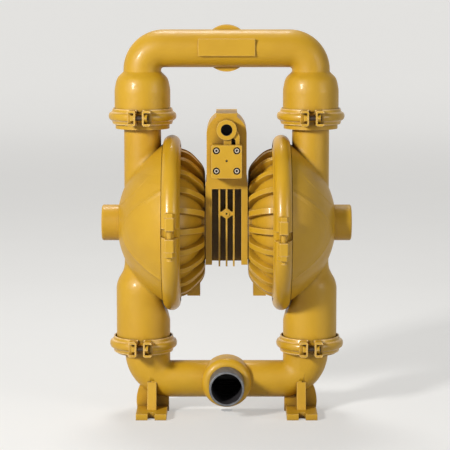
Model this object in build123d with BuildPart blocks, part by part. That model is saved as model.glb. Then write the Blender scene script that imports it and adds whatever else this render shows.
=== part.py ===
"""Clamped air operated double diaphragm pump, built piece by piece.

Millimetres, +Z up, front towards -Y.  The origin is on the ground under the centre of the pump:
the diaphragm shaft runs along X and the two upright legs stand at +X and -X.
"""

import os
from math import asin, cos, degrees, radians, sin, sqrt

from build123d import *

os.makedirs("parts", exist_ok=True)

# ---- Layout ----
leg_spread = 145.0  # X of each upright leg's axis
chamber_joint = 94.5  # X of the plane between air chamber and liquid chamber
inlet_height = 56.6  # Z of the inlet tube's axis
inlet_rise = 64.2  # from the inlet tube's axis to the joint above it
leg_rise = 211.2  # from that joint to the diaphragm shaft
riser_rise = 185.5  # from the shaft to the joint below the discharge manifold
bell_height = 76.5  # from that joint to the top of the bell
bell_to_tube = 39.5  # from the top of the bell to the discharge tube's axis

# ---- Fits ----
slip = 0.05  # radial play of a piece that drops into a bore
running = 0.04  # radial play of the shaft and of the air valve's piston
seat_gap = 0.3  # play between loose or clamped faces
skin = 1.5  # how far a rib or lug is rooted into the wall it grows from

# ---- Pipes and manifolds ----
discharge_tube_r = 32.5
inlet_tube_r = 32.0
tube_wall = 6.5
discharge_bend = 37.0  # centreline radius of the discharge elbows
inlet_bend = 48.0  # centreline radius of the inlet elbows
neck_flange = 16.5  # height of the flange above the inlet elbows
bell_r = 48.0  # ball cage of the discharge manifold
bell_shoulder_drop = 23.5  # rounded shoulder of the bell
bell_crown = 11.0  # gentle start of that shoulder
leg_neck_r = 46.5  # lower leg and every joint's root
port_r = 40.0  # boss of the discharge port
port_reach = 50.0  # Y of the discharge port's face
port_bore_r = 28.7  # 2 inch female pipe thread, minor radius
port_depth = 22.0
tee_r = 43.0  # boss of the inlet tee
tee_reach = 46.0  # front face of the inlet tee
tee_round = 12.0  # of the tee's front edge
nipple_r = 30.15  # 2 inch pipe
nipple_wall = 3.9
nipple_thread_r = 29.7  # over the thread in the tee
nipple_reach = 88.0  # front end of the nipple
nipple_grip = 30.0  # length screwed into the tee
pad_width = 97.5  # raised bare pad on the discharge tube
pad_height = 29.4
pad_rise = 2.6  # above the tube's crest
pad_lift = 2.5

# ---- Feet ----
foot_center = 129.5
foot_width = 52.5
foot_half_depth = 78.0
foot_thickness = 10.5
foot_slot_width = 12.0
foot_slot_depth = 15.0
web_thickness = 14.0
web_inner = 101.0  # X of the web's inner edge
web_outer = 157.0  # X of the web's outer edge at the plate
web_round = 62.0  # radius of its hollow outer edge
gusset_width = 15.5
gusset_top_y = 33.0
gusset_bottom_y = 46.0

# ---- Joints between castings (vee flanges and clamps) ----
vee_slope = 0.45  # how fast the vee flange thickens towards its root
small_tip_r = 54.0
small_tip_half = 5.0
large_tip_r = 145.0
large_tip_half = 6.5
large_root_r = 134.0

# ---- Small clamps ----
small_lip_r = 51.4
small_lip_half = 13.5
small_lip_inner_r = 49.4
small_ridge_r = 58.4
small_ridge_half = 5.4
small_gap = 11.5
small_turn = 3.0  # the two left clamps sit slightly turned on their leg
small_lug_length = 14.5
small_lug_reach = 71.0
small_lug_half = 13.2
small_lug_wall = 3.0
small_lug_round = 4.0
small_pocket_half = 9.2
small_bolt_y = 64.0
small_bolt_r = 4.0
small_nut_size = 13.0
small_nut_thick = 5.5

# ---- Large clamps ----
large_band_r = 15.0  # radius of the half round section
large_band_center = 137.0  # where that half circle is centred
large_gap = 14.4
large_turn = 2.1  # the right clamp sits slightly turned
large_lug_height = 21.5
large_lug_width = 16.0
large_lug_length = 18.0  # beyond the band
large_bolt_out = 8.5  # of the bolt beyond the band
large_bolt_r = 5.0
large_nut_size = 17.0
large_nut_thick = 9.3
large_bolt_tail = 6.0

# ---- Liquid chamber ----
dome_center = 33.5
dome_r = 156.0
dome_start = 110.3
dome_wall = 8.0
boss_r = 31.0
boss_reach = 215.5
boss_edge = 2.0
upper_pipe_r = 32.0
pipe_bore_r = 25.5
top_flange_height = 21.5  # of the flange below the discharge joint
shoulder_rise = 95.2  # from the inlet joint to where the leg starts to narrow
shoulder_height = 48.0
shoulder_neck_r = 32.0
scoop_height = 42.0  # of the hollow beside the large clamp
scoop_ledge = 20.5  # its width at the dome
rim_lip_r = 126.0  # bore at the diaphragm's rim

# ---- Ball valves ----
ball_r = 30.0
ball_lift = 12.0
seat_r = 38.0
seat_bore_r = 24.0
seat_height = 10.0
seat_chamfer = 2.0
ring_r = 1.65  # section of the seat's O-ring
cage_r = 38.0
cage_straight = 37.2
cage_height = 61.2
cage_throat_r = 26.0
guide_play = 1.0
guide_thick = 6.0
guide_stop_r = 16.0

# ---- Diaphragm group ----
diaphragm_rim = 4.0
diaphragm_r = 139.0
bead_r = 2.2
bead_center = 131.0
convolution_outer = 121.0
convolution_inner = 62.0
convolution_depth = 13.0
outer_piston_r = 58.0
outer_piston_thick = 9.0
outer_piston_hub_r = 20.0
outer_piston_hub = 24.0
inner_piston_r = 56.0
inner_piston_thick = 8.0
inner_piston_hub_r = 22.0
inner_piston_hub = 15.0
shaft_r = 11.0
stud_r = 8.0
stud_length = 42.0
stud_in_shaft = 18.0
bushing_r = 15.0
bushing_half = 31.5

# ---- Air chamber ----
air_face = 37.5  # X of the flat face towards the centre block
floor_r = 66.0  # radius of the flat floor that meets the centre block
floor_thick = 8.5
rib_count = 22
rib_thick = 9.5
rib_reach = 22.0  # of the ribs' flat ends beyond the floor
floor_rim = 4.5  # depth of the floor's straight edge
shaft_hole_r = 12.5
lug_inner = 46.0
lug_outer = 68.0
lug_drop = 126.0
lug_half_width = 17.0

# ---- Centre block ----
block_half_width = 36.0
block_front = 62.0
block_drop = 65.0  # from the shaft to the bottom of the block
block_height = 142.0
block_bar = 12.0
column_width = 11.0
core_half_depth = 24.0
core_lift = 1.5  # the core ends this much above the columns
fin_thick = 3.0
fin_pitch = 12.3
fin_drop = 3.0
fin_front = 60.0
diamond_width = 25.0
diamond_height = 19.5
diamond_rise = 22.5  # above the shaft
diamond_ring_r = 5.0
diamond_hole_r = 1.7
diamond_hole_depth = 10.0
arch_r = 34.0
arch_center_rise = 82.0  # from the top of the block to the arch's centre
arch_rear = 45.0
arch_pad_width = 36.0
arch_pad_rise = 35.0  # from the arch's centre to its flat top
exhaust_rise = 61.0  # above the top of the block
exhaust_r = 20.0
exhaust_reach = 62.0
exhaust_bore_r = 11.6  # 3/4 inch female pipe thread, minor radius
exhaust_depth = 24.0
chamber_screw_r = 4.0
chamber_screw_y = 38.0
chamber_screw_z = 38.0
chamber_screw_head_r = 6.5
chamber_screw_head = 8.0
air_passage_r = 4.0
air_passage_rise = 31.0  # of the lower air passage above the top of the block
air_passage_pitch = 18.0
air_passage_depth = 30.0

# ---- Air valve ----
gasket_thick = 1.5
valve_front = 100.0
valve_width = 51.6
valve_rise = 10.0  # of the valve's plate above the top of the block
valve_height = 56.0
valve_round = 3.0
screw_square = 34.3
screw_square_rise = 29.7  # above the bottom of the valve's plate
valve_screw_r = 3.0
valve_screw_head_r = 5.0
valve_screw_head = 6.0
valve_screw_bevel = 0.8  # chamfer of the head
valve_screw_play = 1.0  # round the head in its counterbore
valve_screw_sink = 1.4  # of the head below the plate's face
valve_screw_depth = 16.0  # thread length in the centre block
bleed_hole_r = 1.5
air_port_rise = 25.0  # above the top of the valve's plate
air_port_r = 17.0
air_port_front = 92.0
air_port_bore_r = 9.2  # 1/2 inch female pipe thread, minor radius
air_port_depth = 22.0
port_neck_width = 13.0  # of the neck between the port and the plate
port_neck_x = 1.5
port_neck_front = 88.0
piston_y = 80.0
piston_r = 11.95
piston_length = 30.0
piston_travel = 12.0
cap_r = 14.0
cap_height = 5.0
snap_ring_thick = 1.5
snap_ring_r = 15.4
snap_ring_width = 3.2
snap_ring_opening = 9.0
cap_ring_r = 1.2
spool_land = 9.0
spool_neck_r = 8.5
web_inner_x = 15.0  # web beside the neck, which flows into the port's side
web_outer_x = 22.0
web_shoulder = 14.0  # height of its straight side above the plate

# ---- Heights, datum planes and axes ----
inlet_joint = inlet_height + inlet_rise
shaft_height = inlet_joint + leg_rise
discharge_joint = shaft_height + riser_rise
discharge_height = discharge_joint + bell_height + bell_to_tube
block_bottom = shaft_height - block_drop
block_top = block_bottom + block_height
arch_center = block_top + arch_center_rise
arch_pad_top = arch_center + arch_pad_rise
exhaust_z = block_top + exhaust_rise
air_passage_low = block_top + air_passage_rise
air_passage_high = air_passage_low + air_passage_pitch
valve_bottom = block_top + valve_rise
valve_top = valve_bottom + valve_height
screw_square_z = valve_bottom + screw_square_rise
air_port_z = valve_top + air_port_rise
shaft_axis = Axis((0, 0, shaft_height), (1, 0, 0))
shaft_section = Plane(origin=(0, 0, shaft_height), x_dir=(1, 0, 0), z_dir=(0, -1, 0))
leg_axis = Axis((leg_spread, 0, 0), (0, 0, 1))
leg_section = Plane(origin=(leg_spread, 0, 0), x_dir=(1, 0, 0), z_dir=(0, -1, 0))


def save(piece, name):
    """Label a finished piece and write its file."""
    piece.part.label = name
    export_step(piece.part, f"parts/{name}.step")


def save_pair(right_piece, name):
    """Write a right-hand piece and its mirror image for the left."""
    with BuildPart() as left_piece:
        mirror(right_piece.part, about=Plane.YZ)
    save(right_piece, f"right_{name}")
    save(left_piece, f"left_{name}")


def vee_half(tip_r, tip_half, radius):
    """Half thickness of a vee flange at a radius."""
    return tip_half + (tip_r - radius) * vee_slope


def flange_below(tip_r, tip_half, root_r, joint, height):
    """Profile points of a vee flange whose face looks up at the joint, from its tip inwards."""
    return [
        (0, joint),
        (tip_r, joint),
        (tip_r, joint - tip_half),
        (root_r, joint - vee_half(tip_r, tip_half, root_r)),
        (root_r, joint - height),
        (0, joint - height),
    ]


def ball_height(joint):
    """Z of a closed valve ball above its seat."""
    return joint - seat_chamfer + sqrt((ball_r + seat_gap) ** 2 - seat_bore_r**2)


def cut_ball_cage(joint):
    """Open the ball cage above a joint in the current part, then grow its four guide ribs."""
    throat = joint + cage_height
    with BuildSketch(leg_section) as cage:
        with BuildLine():
            Polyline(
                (0, joint), (cage_r, joint), (cage_r, joint + cage_straight),
                (cage_throat_r, throat), (pipe_bore_r, throat + 4), (0, throat + 4), close=True,
            )
        make_face()
    revolve(cage.sketch, axis=leg_axis, mode=Mode.SUBTRACT)
    guide_r = ball_r + guide_play
    stop = ball_height(joint) + ball_lift + sqrt(ball_r**2 - guide_stop_r**2) + guide_play
    for turn in (45, 135, 225, 315):
        across = (cos(radians(turn)), sin(radians(turn)), 0)
        rib_plane = Plane(origin=(leg_spread, 0, 0), x_dir=across, z_dir=(across[1], -across[0], 0))
        with BuildSketch(rib_plane) as guide:
            with BuildLine():
                Polyline(
                    (guide_r, joint + seat_chamfer),
                    (guide_r, stop - 13),
                    (guide_stop_r, stop),
                    (guide_stop_r, throat + 3),
                    (cage_throat_r + skin, throat + 3),
                    (cage_throat_r + skin, throat),
                    (cage_r + skin, joint + cage_straight),
                    (cage_r + skin, joint + seat_chamfer),
                    close=True,
                )
            make_face()
        extrude(guide.sketch, amount=guide_thick / 2, both=True)


def cut_seat_recess(joint):
    """Recess for a valve seat whose top is flush with the joint."""
    with BuildSketch(Plane.XY.offset(joint)) as recess:
        with Locations((leg_spread, 0)):
            Circle(seat_r + slip)
    extrude(recess.sketch, amount=-seat_height, mode=Mode.SUBTRACT)


# ---- Liquid chambers: one casting each, dome, upper pipe, lower leg with ball cage ----
with BuildPart() as lower_leg:
    shoulder_bottom = inlet_joint + shoulder_rise
    shoulder_top = shoulder_bottom + shoulder_height
    shoulder_middle = (shoulder_bottom + shoulder_top) / 2
    middle_r = (leg_neck_r + shoulder_neck_r) / 2
    root_half = vee_half(small_tip_r, small_tip_half, leg_neck_r)
    with BuildSketch(leg_section):
        with BuildLine():
            Polyline(
                (0, shaft_height), (0, inlet_joint), (small_tip_r, inlet_joint),
                (small_tip_r, inlet_joint + small_tip_half), (leg_neck_r, inlet_joint + root_half),
                (leg_neck_r, shoulder_bottom),
            )
            TangentArc(
                (leg_neck_r, shoulder_bottom), (middle_r, shoulder_middle), tangent=(0, 1)
            )
            TangentArc(
                (shoulder_neck_r, shoulder_top), (middle_r, shoulder_middle), tangent=(0, -1)
            )
            Polyline((shoulder_neck_r, shoulder_top), (shoulder_neck_r, shaft_height), (0, shaft_height))
        make_face()
    revolve(axis=leg_axis)
    # the inner side is scooped out so that the large clamp passes
    scoop_start = large_root_r - skin - 3.5
    scoop_end = scoop_start + scoop_height
    with BuildSketch(shaft_section):
        with BuildLine():
            Polyline(
                (chamber_joint, scoop_start),
                (chamber_joint + scoop_ledge, scoop_start),
                (leg_spread - leg_neck_r, scoop_end),
                (leg_spread - leg_neck_r, scoop_end + 10),
                (chamber_joint, scoop_end + 10),
                close=True,
            )
        make_face()
    revolve(axis=shaft_axis, mode=Mode.SUBTRACT)

with BuildPart() as right_liquid_chamber:
    face = chamber_joint + diaphragm_rim / 2
    root_x = chamber_joint + vee_half(large_tip_r, large_tip_half, large_root_r)
    dome_start_r = sqrt(dome_r**2 - (dome_start - dome_center) ** 2)
    boss_foot = dome_center + sqrt(dome_r**2 - boss_r**2)
    with BuildSketch(shaft_section):
        with BuildLine():
            Polyline(
                (face, 0), (face, large_tip_r), (chamber_joint + large_tip_half, large_tip_r),
                (root_x, large_root_r), (dome_start - 1.5, large_root_r), (dome_start, dome_start_r),
            )
            RadiusArc((dome_start, dome_start_r), (boss_foot, boss_r), dome_r)
            Polyline(
                (boss_foot, boss_r), (boss_reach - boss_edge, boss_r),
                (boss_reach, boss_r - boss_edge), (boss_reach, 0), (face, 0),
            )
        make_face()
    revolve(axis=shaft_axis)
    with BuildSketch(Plane.XY.offset(shaft_height)):
        with Locations((leg_spread, 0)):
            Circle(upper_pipe_r)
    extrude(amount=discharge_joint - top_flange_height - shaft_height)
    with BuildSketch(leg_section):
        with BuildLine():
            Polyline(
                *flange_below(
                    small_tip_r, small_tip_half, leg_neck_r, discharge_joint, top_flange_height
                ),
                close=True,
            )
        make_face()
    revolve(axis=leg_axis)
    add(lower_leg.part)
    # pumping chamber behind the dome
    inner_r = dome_r - dome_wall
    lip_end = dome_center + sqrt(inner_r**2 - rim_lip_r**2)
    with BuildSketch(shaft_section):
        with BuildLine():
            Polyline((face, 0), (face, rim_lip_r), (lip_end, rim_lip_r))
            RadiusArc((lip_end, rim_lip_r), (dome_center + inner_r, 0), inner_r)
            Line((dome_center + inner_r, 0), (face, 0))
        make_face()
    revolve(axis=shaft_axis, mode=Mode.SUBTRACT)
    # groove for the diaphragm's bead
    with BuildSketch(shaft_section):
        with Locations((face, bead_center)):
            Circle(bead_r + slip)
    revolve(axis=shaft_axis, mode=Mode.SUBTRACT)
    # passages up and down
    with BuildSketch(Plane.XY.offset(shaft_height)):
        with Locations((leg_spread, 0)):
            Circle(pipe_bore_r)
    extrude(amount=discharge_joint - shaft_height, mode=Mode.SUBTRACT)
    with BuildSketch(Plane.XY.offset(inlet_joint + cage_height)):
        with Locations((leg_spread, 0)):
            Circle(pipe_bore_r)
    extrude(amount=shaft_height - inlet_joint - cage_height, mode=Mode.SUBTRACT)
    cut_seat_recess(discharge_joint)
    cut_ball_cage(inlet_joint)
save_pair(right_liquid_chamber, "liquid_chamber")


# ---- Discharge manifold: one casting, two bells with ball cages, tube, pad and rear port ----
with BuildPart() as discharge_manifold:
    bell_top = discharge_joint + bell_height
    bell_straight = bell_top - bell_shoulder_drop - bell_crown
    bell_root = discharge_joint + vee_half(small_tip_r, small_tip_half, leg_neck_r)
    with BuildSketch(leg_section):
        with BuildLine():
            Polyline(
                (0, bell_top), (0, discharge_joint), (small_tip_r, discharge_joint),
                (small_tip_r, discharge_joint + small_tip_half), (leg_neck_r, bell_root),
                (bell_r, bell_root + 2), (bell_r, bell_straight),
            )
            Spline(
                (bell_r, bell_straight), (bell_r - 1.4, bell_top - bell_shoulder_drop),
                (bell_r - 6.1, bell_top - bell_shoulder_drop / 2 + 2),
                (discharge_tube_r, bell_top), tangents=((0, 1), (-0.75, 1)),
            )
            Line((discharge_tube_r, bell_top), (0, bell_top))
        make_face()
    revolve(axis=leg_axis)
    with BuildLine(Plane.XZ) as discharge_path:
        FilletPolyline(
            (0, discharge_height), (leg_spread, discharge_height), (leg_spread, bell_top - skin),
            radius=discharge_bend,
        )
    with BuildSketch(Plane.YZ) as discharge_tube:
        with Locations((0, discharge_height)):
            Circle(discharge_tube_r)
    sweep(sections=discharge_tube.sketch, path=discharge_path.wire())
    with BuildSketch(Plane.YZ) as discharge_bore:
        with Locations((0, discharge_height)):
            Circle(discharge_tube_r - tube_wall)
    sweep(sections=discharge_bore.sketch, path=discharge_path.wire(), mode=Mode.SUBTRACT)
    cut_ball_cage(discharge_joint)
    mirror(about=Plane.YZ)
    # bare raised pad on the front of the tube
    with BuildSketch(Plane.XZ.offset(discharge_tube_r + pad_rise)):
        with Locations((0, discharge_height + pad_lift)):
            RectangleRounded(pad_width, pad_height, 1.5)
    extrude(amount=-(pad_rise + tube_wall))
    # port boss on the rear
    with BuildSketch(Plane.XZ):
        with Locations((0, discharge_height)):
            Circle(port_r)
            Circle(discharge_tube_r - tube_wall, mode=Mode.SUBTRACT)
    extrude(amount=-port_reach)
    fillet(edges().filter_by(GeomType.CIRCLE).sort_by(Axis.Y)[-1], 3)
    with BuildSketch(Plane.XZ.offset(-port_reach)):
        with Locations((0, discharge_height)):
            Circle(port_bore_r)
    extrude(amount=port_depth, mode=Mode.SUBTRACT)
    with BuildSketch(Plane.XZ):
        with Locations((0, discharge_height)):
            Circle(discharge_tube_r - tube_wall)
    extrude(amount=-port_reach, mode=Mode.SUBTRACT)
    with BuildSketch(Plane.YZ):
        with Locations((0, discharge_height)):
            Circle(discharge_tube_r - tube_wall)
    extrude(amount=port_r + 5, both=True, mode=Mode.SUBTRACT)
save(discharge_manifold, "discharge_manifold")


# ---- Inlet manifold: one casting, tube, two elbows, front tee and two feet ----
with BuildPart() as inlet_manifold:
    elbow_top = inlet_joint - seat_height
    neck_top = inlet_joint - neck_flange + skin
    with BuildSketch(leg_section):
        with BuildLine():
            Polyline(
                *flange_below(small_tip_r, small_tip_half, leg_neck_r, inlet_joint, neck_flange), close=True
            )
        make_face()
    revolve(axis=leg_axis)
    with BuildLine(Plane.XZ) as inlet_path:
        FilletPolyline(
            (0, inlet_height), (leg_spread, inlet_height), (leg_spread, elbow_top),
            radius=inlet_bend,
        )
    with BuildSketch(Plane.YZ) as inlet_tube:
        with Locations((0, inlet_height)):
            Circle(inlet_tube_r)
    sweep(sections=inlet_tube.sketch, path=inlet_path.wire())
    # wide neck under the joint, whose inner side drops straight to the tube
    neck_x = leg_spread - leg_neck_r + inlet_tube_r
    with BuildSketch(Plane.XY.offset(neck_top)):
        with Locations((neck_x, 0), (leg_spread, 0)):
            Circle(inlet_tube_r)
        with Locations(((neck_x + leg_spread) / 2, 0)):
            Rectangle(leg_spread - neck_x, 2 * inlet_tube_r)
    extrude(amount=-(neck_top - inlet_height - inlet_bend))
    with BuildSketch(Plane.XY.offset(neck_top)):
        with Locations((neck_x, 0)):
            Circle(inlet_tube_r)
        with Locations((neck_x + inlet_tube_r / 2, 0)):
            Rectangle(inlet_tube_r, 2 * inlet_tube_r, mode=Mode.SUBTRACT)
    extrude(amount=-(neck_top - inlet_height))
    # foot: plate, cross web and the two gussets
    with BuildSketch(Plane.XY):
        with Locations((foot_center, 0)):
            Rectangle(foot_width, 2 * foot_half_depth)
    extrude(amount=foot_thickness)
    with BuildSketch(Plane.XZ):
        with BuildLine():
            Polyline(
                (leg_spread, inlet_height), (web_inner, inlet_height),
                (web_inner, 0), (foot_center + foot_width / 2, 0),
                (web_outer, foot_thickness),
            )
            RadiusArc((web_outer, foot_thickness), (leg_spread, inlet_height), -web_round)
        make_face()
    extrude(amount=web_thickness / 2, both=True)
    for end in (-1, 1):
        with BuildSketch(Plane.YZ.offset(foot_center - gusset_width / 2)):
            with BuildLine():
                Polyline(
                    (0, inlet_height), (end * gusset_top_y, inlet_height),
                    (end * gusset_bottom_y, foot_thickness), (end * gusset_bottom_y, 2), (0, 2),
                    close=True,
                )
            make_face()
        extrude(amount=gusset_width)
    with BuildSketch(Plane.XY):
        for end in (-1, 1):
            with Locations((foot_center, end * foot_half_depth)):
                Rectangle(foot_slot_width, 2 * foot_slot_depth - foot_slot_width)
            with Locations((foot_center, end * (foot_half_depth - foot_slot_depth + foot_slot_width / 2))):
                Circle(foot_slot_width / 2)
    extrude(amount=foot_thickness, mode=Mode.SUBTRACT)
    with BuildSketch(Plane.YZ) as inlet_bore:
        with Locations((0, inlet_height)):
            Circle(pipe_bore_r)
    sweep(sections=inlet_bore.sketch, path=inlet_path.wire(), mode=Mode.SUBTRACT)
    cut_seat_recess(inlet_joint)
    mirror(about=Plane.YZ)
    # tee boss at the front, bored for the nipple
    with BuildSketch(Plane.XZ):
        with Locations((0, inlet_height)):
            Circle(tee_r)
    extrude(amount=tee_reach)
    tee_rim = edges().filter_by(GeomType.CIRCLE).filter_by(lambda edge: edge.radius == tee_r)
    fillet(tee_rim.sort_by(Axis.Y)[0], tee_round)
    with BuildSketch(Plane.XZ.offset(tee_reach)):
        with Locations((0, inlet_height)):
            Circle(nipple_thread_r + slip)
    extrude(amount=-nipple_grip, mode=Mode.SUBTRACT)
    with BuildSketch(Plane.XZ):
        with Locations((0, inlet_height)):
            Circle(pipe_bore_r)
    extrude(amount=tee_reach, mode=Mode.SUBTRACT)
    with BuildSketch(Plane.YZ):
        with Locations((0, inlet_height)):
            Circle(pipe_bore_r)
    extrude(amount=tee_r + 5, both=True, mode=Mode.SUBTRACT)
save(inlet_manifold, "inlet_manifold")

# steel pipe nipple screwed into the tee
with BuildPart() as inlet_nipple:
    with BuildSketch(Plane.XZ.offset(tee_reach - nipple_grip)):
        with Locations((0, inlet_height)):
            Circle(nipple_thread_r)
    extrude(amount=nipple_grip + seat_gap)
    with BuildSketch(Plane.XZ.offset(tee_reach + seat_gap)):
        with Locations((0, inlet_height)):
            Circle(nipple_r)
    extrude(amount=nipple_reach - tee_reach - seat_gap)
    chamfer(edges().filter_by(GeomType.CIRCLE).sort_by(Axis.Y)[0], 1.2)
    with BuildSketch(Plane.XZ):
        with Locations((0, inlet_height)):
            Circle(nipple_r - nipple_wall)
    extrude(amount=nipple_reach, mode=Mode.SUBTRACT)
save(inlet_nipple, "inlet_nipple")


# ---- Ball valves: a ball, a seat and a ring at each of the four joints ----
for hand, side in (("left", -1), ("right", 1)):
    for port, joint in (("inlet", inlet_joint), ("discharge", discharge_joint)):
        with BuildPart() as valve_ball:
            with Locations((side * leg_spread, 0, ball_height(joint))):
                Sphere(ball_r)
        save(valve_ball, f"{hand}_{port}_ball")

        with BuildPart() as valve_seat:
            seat_plane = Plane(origin=(side * leg_spread, 0, 0), x_dir=(1, 0, 0), z_dir=(0, -1, 0))
            step = 2 * ring_r + 2 * slip
            with BuildSketch(seat_plane):
                with BuildLine():
                    Polyline(
                        (seat_bore_r, joint - seat_height), (seat_r, joint - seat_height),
                        (seat_r, joint - step), (seat_r - step, joint - step), (seat_r - step, joint),
                        (seat_bore_r + seat_chamfer, joint), (seat_bore_r, joint - seat_chamfer),
                        close=True,
                    )
                make_face()
            revolve(axis=Axis((side * leg_spread, 0, 0), (0, 0, 1)))
        save(valve_seat, f"{hand}_{port}_seat")

with BuildPart() as seat_rings:
    ring_center_r = seat_r - ring_r - slip
    for joint in (inlet_joint, discharge_joint):
        with Locations((-leg_spread, 0, joint - ring_r - slip), (leg_spread, 0, joint - ring_r - slip)):
            Torus(ring_center_r, ring_r)
save(seat_rings, "seat_rings")


# ---- Small clamps: two cast halves round each joint, drawn together by two bolts ----
with BuildPart() as clamp_half_form:
    mid_angle = degrees(asin(small_gap / 2 / small_ridge_r))
    begin = radians(-90 + mid_angle)
    begin_plane = Plane(
        origin=(0, 0, 0), x_dir=(cos(begin), sin(begin), 0), z_dir=(sin(begin), -cos(begin), 0)
    )
    with BuildSketch(begin_plane):
        with BuildLine():
            Polyline(
                (small_ridge_r - 1.6, small_ridge_half), (small_lip_r + 1.4, small_lip_half - 5.5),
                (small_lip_r, small_lip_half - 1), (small_lip_r, small_lip_half),
                (small_lip_inner_r, small_lip_half), (small_lip_inner_r, -small_lip_half),
                (small_lip_r, -small_lip_half), (small_lip_r, 1 - small_lip_half),
                (small_lip_r + 1.4, 5.5 - small_lip_half), (small_ridge_r - 1.6, -small_ridge_half),
            )
            ThreePointArc(
                (small_ridge_r - 1.6, -small_ridge_half), (small_ridge_r, 0),
                (small_ridge_r - 1.6, small_ridge_half),
            )
        make_face()
    revolve(axis=Axis.Z, revolution_arc=180 - 2 * mid_angle)
    # a pocketed lug at each end
    lug_start = small_gap / 2
    for end in (-1, 1):
        with BuildSketch(Plane.XZ.offset(-end * small_lip_inner_r)):
            with Locations((lug_start + small_lug_length / 2, 0)):
                RectangleRounded(small_lug_length, 2 * small_lug_half, small_lug_round)
        extrude(amount=-end * (small_lug_reach - small_lip_inner_r))
        with BuildSketch(Plane.XZ.offset(-end * small_lug_reach)):
            with Locations((lug_start + small_lug_wall + small_lug_length / 2, 0)):
                RectangleRounded(
                    small_lug_length, 2 * small_pocket_half, small_lug_round - small_lug_wall
                )
        extrude(amount=end * (small_lug_reach - small_tip_r - 3), mode=Mode.SUBTRACT)
    # vee groove that wraps the flanges
    with BuildSketch(Plane.XZ):
        with BuildLine():
            groove_tip = small_tip_r + seat_gap
            groove_root = vee_half(small_tip_r, small_tip_half, small_lip_inner_r) + seat_gap
            Polyline(
                (0, small_lug_reach), (small_lip_inner_r, small_lug_reach),
                (small_lip_inner_r, groove_root), (groove_tip, small_tip_half + seat_gap),
                (groove_tip, -small_tip_half - seat_gap), (small_lip_inner_r, -groove_root),
                (small_lip_inner_r, -small_lug_reach), (0, -small_lug_reach), close=True,
            )
        make_face()
    revolve(axis=Axis.Z, mode=Mode.SUBTRACT)
    with BuildSketch(Plane.YZ):
        with Locations((-small_bolt_y, 0), (small_bolt_y, 0)):
            Circle(small_bolt_r + seat_gap)
    extrude(amount=lug_start + small_lug_length, mode=Mode.SUBTRACT)

with BuildPart() as small_bolt_form:
    head_start = lug_start + small_lug_wall
    nut_start = lug_start + small_lug_wall
    for end in (-1, 1):
        with BuildSketch(Plane.YZ.offset(-head_start)):
            with Locations((end * small_bolt_y, 0)):
                RegularPolygon(small_nut_size / 2, 6, major_radius=False, rotation=30)
        extrude(amount=-small_nut_thick)
        with BuildSketch(Plane.YZ.offset(-head_start)):
            with Locations((end * small_bolt_y, 0)):
                Circle(small_bolt_r)
        extrude(amount=head_start + nut_start + small_nut_thick + 2)

with BuildPart() as small_nut_form:
    for end in (-1, 1):
        with BuildSketch(Plane.YZ.offset(nut_start)):
            with Locations((end * small_bolt_y, 0)):
                Rectangle(small_nut_size, small_nut_size)
                Circle(small_bolt_r + slip, mode=Mode.SUBTRACT)
        extrude(amount=small_nut_thick)

small_clamp_places = []
for hand, side, turn in (("left", -1, small_turn), ("right", 1, 0)):
    for port, joint in (("inlet", inlet_joint), ("discharge", discharge_joint)):
        for half, half_turn in (("inner", 0 if side < 0 else 180), ("outer", 180 if side < 0 else 0)):
            with BuildPart() as clamp_half:
                with Locations(Location((side * leg_spread, 0, joint), (0, 0, -turn + half_turn))):
                    add(clamp_half_form.part)
            save(clamp_half, f"{hand}_{port}_clamp_{half}")
        small_clamp_places.append(Location((side * leg_spread, 0, joint), (0, 0, -turn)))

with BuildPart() as small_clamp_bolts:
    with Locations(*small_clamp_places):
        add(small_bolt_form.part)
save(small_clamp_bolts, "small_clamp_bolts")

with BuildPart() as small_clamp_nuts:
    with Locations(*small_clamp_places):
        add(small_nut_form.part)
save(small_clamp_nuts, "small_clamp_nuts")


# ---- Large clamps: two cast half rings over the rims of the chambers ----
with BuildPart() as large_half_form:
    # local frame: centred on the ring, shaft axis along X, this is the upper half
    large_lug_reach = large_band_center + large_band_r + large_lug_length
    large_bolt_reach = large_band_center + large_band_r + large_bolt_out
    large_angle = degrees(asin(large_gap / 2 / large_band_center))
    rise = radians(large_angle)
    ring_start = Plane(
        origin=(0, 0, 0), x_dir=(1, 0, 0), z_dir=(0, -sin(rise), cos(rise))
    )
    with BuildSketch(ring_start):
        with Locations((0, large_band_center)):
            Circle(large_band_r)
            with Locations((0, -large_band_r / 2)):
                Rectangle(2 * large_band_r, large_band_r, mode=Mode.SUBTRACT)
    revolve(axis=Axis.X, revolution_arc=180 - 2 * large_angle)
    for end in (-1, 1):
        with BuildSketch(Plane.XY.offset(large_gap / 2)):
            with Locations((0, end * (large_band_center + large_lug_reach) / 2)):
                RectangleRounded(large_lug_width, large_lug_reach - large_band_center, 3)
        extrude(amount=large_lug_height)
    with BuildSketch(Plane(origin=(0, 0, 0), x_dir=(1, 0, 0), z_dir=(0, -1, 0))):
        with BuildLine():
            groove_tip = large_tip_r + seat_gap
            tip_half = large_tip_half + seat_gap
            foot_half = vee_half(large_tip_r, large_tip_half, large_band_center) + seat_gap
            Polyline(
                (-foot_half, large_band_center - large_band_r), (-foot_half, large_band_center),
                (-tip_half, groove_tip), (tip_half, groove_tip), (foot_half, large_band_center),
                (foot_half, large_band_center - large_band_r), close=True,
            )
        make_face()
    revolve(axis=Axis.X, mode=Mode.SUBTRACT)
    with BuildSketch(Plane.XY):
        with Locations((0, -large_bolt_reach), (0, large_bolt_reach)):
            Circle(large_bolt_r + seat_gap)
    extrude(amount=large_gap / 2 + large_lug_height, mode=Mode.SUBTRACT)

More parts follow.
